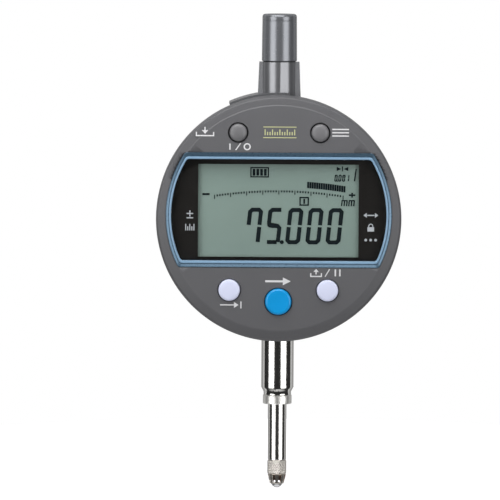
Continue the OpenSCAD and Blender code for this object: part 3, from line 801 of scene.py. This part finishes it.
def window_signs():
    """Signs printed behind the window, beside the LCD, in place of words."""
    y1 = MASK_Y - 0.005
    y0 = y1 - 0.02
    w = 0.27
    bm = bmesh.new()
    # Plus over minus
    ribbon(bm, [(-22.5, 1.25), (-20.9, 1.25)], w, y0, y1)
    ribbon(bm, [(-21.7, 1.42), (-21.7, 2.0)], w, y0, y1)
    ribbon(bm, [(-21.7, 0.5), (-21.7, 1.08)], w, y0, y1)
    ribbon(bm, [(-22.5, 0.2), (-20.9, 0.2)], w, y0, y1)
    # Fine ticks
    for k in range(5):
        x = -22.7 + k * 0.5
        top = -1.3 if k % 2 == 0 else -1.9
        ribbon(bm, [(x, -2.9), (x, top)], w * 0.9, y0, y1)
    # Two arrows apart
    ribbon(bm, [(21.6, 1.05), (23.4, 1.05)], w, y0, y1)
    prism(bm, [(20.7, 1.05), (21.5, 0.45), (21.5, 1.65)], y0, y1)
    prism(bm, [(24.3, 1.05), (23.5, 1.65), (23.5, 0.45)], y0, y1)
    # Padlock
    prism(bm, [(21.7, -2.9), (23.3, -2.9), (23.3, -1.85), (21.7, -1.85)], y0, y1)
    ribbon(bm, [(22.0, -1.82)] + arc(22.5, -1.6, 0.5, 180, 0, 12) + [(23.0, -1.82)], w * 0.8, y0, y1)
    # Three dots
    for x in (21.3, 22.5, 23.7):
        prism(bm, disc(x, -5.0, 0.33, 16), y0, y1)
    add_object("window_signs", bm, "print_grey", "display_unit")


# ---- Cap, stem and contact ----

def cap():
    """Hollow spindle cap with a rounded top and a fine groove just under it."""
    low, high = box_mm("spindle_cap")
    foot_r = (high.x - low.x) / 2 - 0.02
    top_r = foot_r - 0.1
    bore_r, cavity_r = 3.72, 3.0
    bore_top = low.z + 2.6
    cavity_top = high.z - 1.2
    groove_z = high.z - 1.75
    groove = ((0, -0.08), (0.02, -0.03), (0.02, 0.03), (0, 0.08))  # depth, height from the groove's middle
    corners = [(bore_r, bore_top), (bore_r, low.z), (foot_r, low.z), (top_r, high.z), (0.01, high.z)]
    outside = rounded(corners, [0, 0.15, 0.22, 0.75, 0], 7)
    profile = [(0.01, cavity_top), (cavity_r, cavity_top), (cavity_r, bore_top)]
    for (radius, z), (next_r, next_z) in zip(outside, outside[1:]):
        profile.append((radius, z))
        if z < groove_z < next_z:
            for depth, rise in groove:
                share = (groove_z + rise - z) / (next_z - z)
                profile.append((radius + (next_r - radius) * share - depth, groove_z + rise))
    profile.append(outside[-1])
    bm = bmesh.new()
    lathe(bm, profile, (0, 0), "z", 128)
    obj = add_object("cap", bm, "cap_plastic", "base", 45)
    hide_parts("spindle_cap")


def contact():
    """Contact holder: a diamond-knurled barrel, a fluted cone with painted shade in its flutes (a dark
    brownish steel), a collar and the ball's seat."""
    low, high = box_mm("contact_holder")
    knurl_top = box_mm("spindle")[0].z
    knurl_low = knurl_top - 3.6
    flute_low = low.z + 0.45
    angles = [2 * math.pi * i / 160 for i in range(160)]
    bm = bmesh.new()
    rings = knurl_rings(bm, angles, (high.x - low.x) / 2, knurl_top, knurl_low)
    first_flute = len(rings) * len(angles)
    rings += flute_rings(bm, angles, knurl_low - 0.06, flute_low)
    last_flute = (len(rings) - 1) * len(angles)
    for r, z in ((1.80, flute_low - 0.03), (1.78, low.z + 0.16), (1.66, low.z + 0.04), (1.5, low.z)):
        rings.append([bm.verts.new((r * math.cos(a), r * math.sin(a), z)) for a in angles])
    skin(bm, rings)
    bm.faces.ensure_lookup_table()
    # Faces deep in the flutes take the dark steel as painted shade; the rest keeps the knurled steel
    for i in range(first_flute, last_flute):
        bm.faces[i].material_index = 1 if flute_wave(angles[i % len(angles)]) > 0.55 else 0
    bm.faces.new(rings[0])
    bm.faces.new(rings[-1])
    obj = add_object("contact", bm, "knurl_steel", "spindle_unit", 60, False)
    obj.data.materials.append(MATERIALS["flute_painted_shade"])
    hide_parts("contact_holder")


def knurl_rings(bm, angles, radius, top, low):
    """Barrel covered in small diamonds, which fade out towards its rounded ends."""
    rows = 44
    fade_rows = 5
    diamonds = 13
    rings = []
    for k in range(rows + 1):
        z = top + (low - top) * k / rows
        soft = min(1.0, min(k, rows - k) / fade_rows)
        ring = []
        for a in angles:
            diamond = abs(math.sin(diamonds * a + z * 3.9)) * abs(math.sin(diamonds * a - z * 3.9))
            r = radius - 0.3 * (1 - soft) ** 2 - 0.2 * soft * (1 - diamond)
            ring.append(bm.verts.new((r * math.cos(a), r * math.sin(a), z)))
        rings.append(ring)
    return rings


def flute_wave(a):
    """0 to 1 round the fluted cone: 1 in the middle of each of its eight flutes."""
    return 0.5 + 0.5 * math.cos(8 * (a - math.pi / 8))


def flute_rings(bm, angles, top, low):
    """Cone with eight flutes that end before its top and bottom."""
    rows = 12
    rings = []
    for k in range(rows + 1):
        share = k / rows
        z = top + (low - top) * share
        base_r = 2.28 - 0.40 * share - 0.08 * share ** 3
        ring = []
        for a in angles:
            deep = 0.0 if k in (0, rows) else 0.5 * min(1, max(0, (flute_wave(a) - 0.45) * 3))
            ring.append(bm.verts.new(((base_r - deep) * math.cos(a), (base_r - deep) * math.sin(a), z)))
        rings.append(ring)
    return rings


def ball():
    """Contact ball."""
    low, high = box_mm("contact_ball")
    bm = bmesh.new()
    bmesh.ops.create_icosphere(bm, subdivisions=5, radius=(high.x - low.x) / 2)
    bmesh.ops.translate(bm, verts=bm.verts, vec=(low + high) / 2)
    obj = add_object("ball", bm, "carbide", "spindle_unit", 60, False)
    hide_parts("contact_ball")


def return_spring():
    """Coil of round wire on the spindle."""
    low, high = box_mm("return_spring")
    wire_r = 0.2
    clearance = 0.02
    turns = 9
    steps_per_turn = 32
    coil_r = (high.x - low.x) / 2 - wire_r
    start = low.z + wire_r + clearance
    rise = high.z - wire_r - clearance - start
    steps = turns * steps_per_turn
    bm = bmesh.new()
    rings = []
    for i in range(steps + 1):
        turn = 2 * math.pi * i / steps_per_turn
        middle = start + rise * i / steps
        ring = []
        for c, s in circle_points(10):
            r = coil_r + wire_r * c
            ring.append(bm.verts.new((r * math.cos(turn), r * math.sin(turn), middle + wire_r * s)))
        rings.append(ring)
    closed_skin(bm, rings)
    obj = add_object("return_spring_coil", bm, "hidden_steel", "base", 60, False)
    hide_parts("return_spring")
    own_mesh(obj)


# ---- Nodes that keep their CAD shape ----

def keep_nodes():
    """CAD nodes that stay get their material; those that show from outside get rounded edges."""
    record = frame["record"]
    bodies = record["behaviour"]["bodies"]
    body_of = {node: body for body, members in bodies.items() for node in members}
    slots = {row["node"]: row["material_slot"] for row in record["subparts"]}
    replaced = {"front_bezel", "trim_ring", "display_window", "lcd_panel", "spindle_cap", "contact_holder",
                "contact_ball", "return_spring", *BUTTONS}
    edges = {
        "rear_case": 0.25, "back_cover": 0.3, "rear_plate": 0.2, "connector_cover": 0.15, "stem": 0.12,
        "stem_end_ring": 0.18, "spindle": 0.12, "battery_cover": 0.2, "cover_screws": 0.12, "cap_seal": 0.1,
    }
    finishes = {"spindle": "spindle_steel", "stem_end_ring": "ring_steel"}
    for node, obj in frame["nodes"].items():
        if node in replaced:
            continue
        if node in edges:
            finished(node, finishes.get(node, slots[node]), body_of[node], edges[node])
            continue
        obj.data.materials.clear()
        obj.data.materials.append(MATERIALS[slots[node]])


# ---- Stage, light and camera ----

def stage():
    """Pale floor just under the ball. Sizes here are in metres."""
    gap = 0.0004
    bm = bmesh.new()
    bmesh.ops.create_circle(bm, cap_ends=True, segments=96, radius=0.12)
    mesh = bpy.data.meshes.new("floor")
    bm.to_mesh(mesh)
    bm.free()
    floor = bpy.data.objects.new("floor", mesh)
    floor.location = (0, 0.06, cad_box[0][2] - gap)
    floor.visible_diffuse = False
    floor.visible_glossy = False
    bpy.context.scene.collection.objects.link(floor)
    material, tree, bsdf = shader("floor_paper")
    fine = noise(tree, place(tree), 400)
    tree.links.new(two_tone(tree, fine, (0.93, 0.93, 0.93), 0.004), bsdf.inputs["Base Color"])
    bsdf.inputs["Roughness"].default_value = 0.8
    bsdf.inputs["Emission Color"].default_value = (1, 1, 1, 1)
    bsdf.inputs["Emission Strength"].default_value = 0.8
    mesh.materials.append(material)


def world():
    """Studio that lights and mirrors in the object, and is plain white to look at."""
    scene_world = bpy.data.worlds.new("studio")
    bpy.context.scene.world = scene_world
    scene_world.use_nodes = True
    tree = scene_world.node_tree
    tree.nodes.clear()
    output = tree.nodes.new("ShaderNodeOutputWorld")
    strength = studio_strength(tree)
    lit = tree.nodes.new("ShaderNodeBackground")
    tree.links.new(strength, lit.inputs["Strength"])
    seen = tree.nodes.new("ShaderNodeBackground")
    seen.inputs["Color"].default_value = (1, 1, 1, 1)
    mix = tree.nodes.new("ShaderNodeMixShader")
    path = tree.nodes.new("ShaderNodeLightPath")
    tree.links.new(path.outputs["Is Camera Ray"], mix.inputs["Fac"])
    tree.links.new(lit.outputs["Background"], mix.inputs[1])
    tree.links.new(seen.outputs["Background"], mix.inputs[2])
    tree.links.new(mix.outputs["Shader"], output.inputs["Surface"])


def studio_strength(tree):
    """Brightness by direction: dark in front, a bright strip on each side, grey behind and light below."""
    dark, bright, behind = 0.035, 1, 0.5
    coords = tree.nodes.new("ShaderNodeTexCoord")
    split = tree.nodes.new("ShaderNodeSeparateXYZ")
    tree.links.new(coords.outputs["Generated"], split.inputs["Vector"])
    ramp = tree.nodes.new("ShaderNodeValToRGB")
    elements = ramp.color_ramp.elements
    elements[0].position = 0.64
    elements[0].color = (dark, dark, dark, 1)
    elements[1].position = 0.78
    elements[1].color = (behind, behind, behind, 1)
    for position in (0.66, 0.71):
        elements.new(position).color = (bright, bright, bright, 1)
    tree.links.new(rescaled(tree, split.outputs["Y"], -1, 1, 0, 1), ramp.inputs["Fac"])
    lighter = tree.nodes.new("ShaderNodeMath")
    lighter.operation = "MAXIMUM"
    tree.links.new(ramp.outputs["Color"], lighter.inputs[0])
    tree.links.new(rescaled(tree, split.outputs["Z"], -0.7, -0.9, 0, 1.3), lighter.inputs[1])
    return lighter.outputs["Value"]


def aimed_light(name, place_mm, target_mm, width, height, radiance):
    """Area light at a place, facing a target, both in millimetres from the display's middle."""
    data = bpy.data.lights.new(name, "AREA")
    data.shape = "RECTANGLE"
    data.size = width * MM
    data.size_y = height * MM
    data.energy = radiance * math.pi * data.size * data.size_y
    light = bpy.data.objects.new(name, data)
    middle = Vector((0, 0, DISC_Z))
    light.location = (middle + Vector(place_mm)) * MM
    facing = Vector(target_mm) - Vector(place_mm)
    light.rotation_euler = facing.to_track_quat("-Z", "Y").to_euler()
    bpy.context.scene.collection.objects.link(light)


def around(azimuth_deg, elevation_deg, distance):
    """Place at an angle from the front, positive to the right and up."""
    a, e = math.radians(azimuth_deg), math.radians(elevation_deg)
    return distance * math.sin(a) * math.cos(e), -distance * math.cos(a) * math.cos(e), distance * math.sin(e)


def lights():
    """A large soft light on each side and a nearer one above, all in front."""
    aimed_light("soft_left", around(-44, 0, 800), (0, 0, 0), 540, 520, 3.7)
    aimed_light("soft_right", around(44, 0, 800), (0, 0, 0), 540, 520, 3.5)
    aimed_light("near_top", (-30, -100, 165), (0, 0, 5), 220, 150, 4.6)


def camera():
    """Long lens, four degrees above the display's axis. It aims left of and below the display's middle,
    so the object stands right of the picture's middle."""
    lens_mm = 450
    sensor_mm = 36
    distance = 1543.21
    aim_left = 6.963
    aim_below = 8.741
    elevation = math.radians(4)
    roll = math.radians(0.35)
    data = bpy.data.cameras.new("camera")
    data.lens = lens_mm
    data.sensor_width = sensor_mm
    data.clip_end = 100
    obj = bpy.data.objects.new("camera", data)
    target = Vector((-aim_left, 0, DISC_Z - aim_below))
    offset = Vector((0, -math.cos(elevation), math.sin(elevation))) * distance
    obj.location = (target + offset) * MM
    facing = (-offset).to_track_quat("-Z", "Y")
    obj.rotation_euler = (facing @ Quaternion((0, 0, 1), roll)).to_euler()
    bpy.context.scene.collection.objects.link(obj)
    bpy.context.scene.camera = obj


camera()
stage()
world()
lights()
bezel()
buttons()
trim()
window()
lcd()
face_signs()
window_signs()
cap()
contact()
ball()
return_spring()
keep_nodes()
bpy.context.scene.view_settings.view_transform = "Standard"
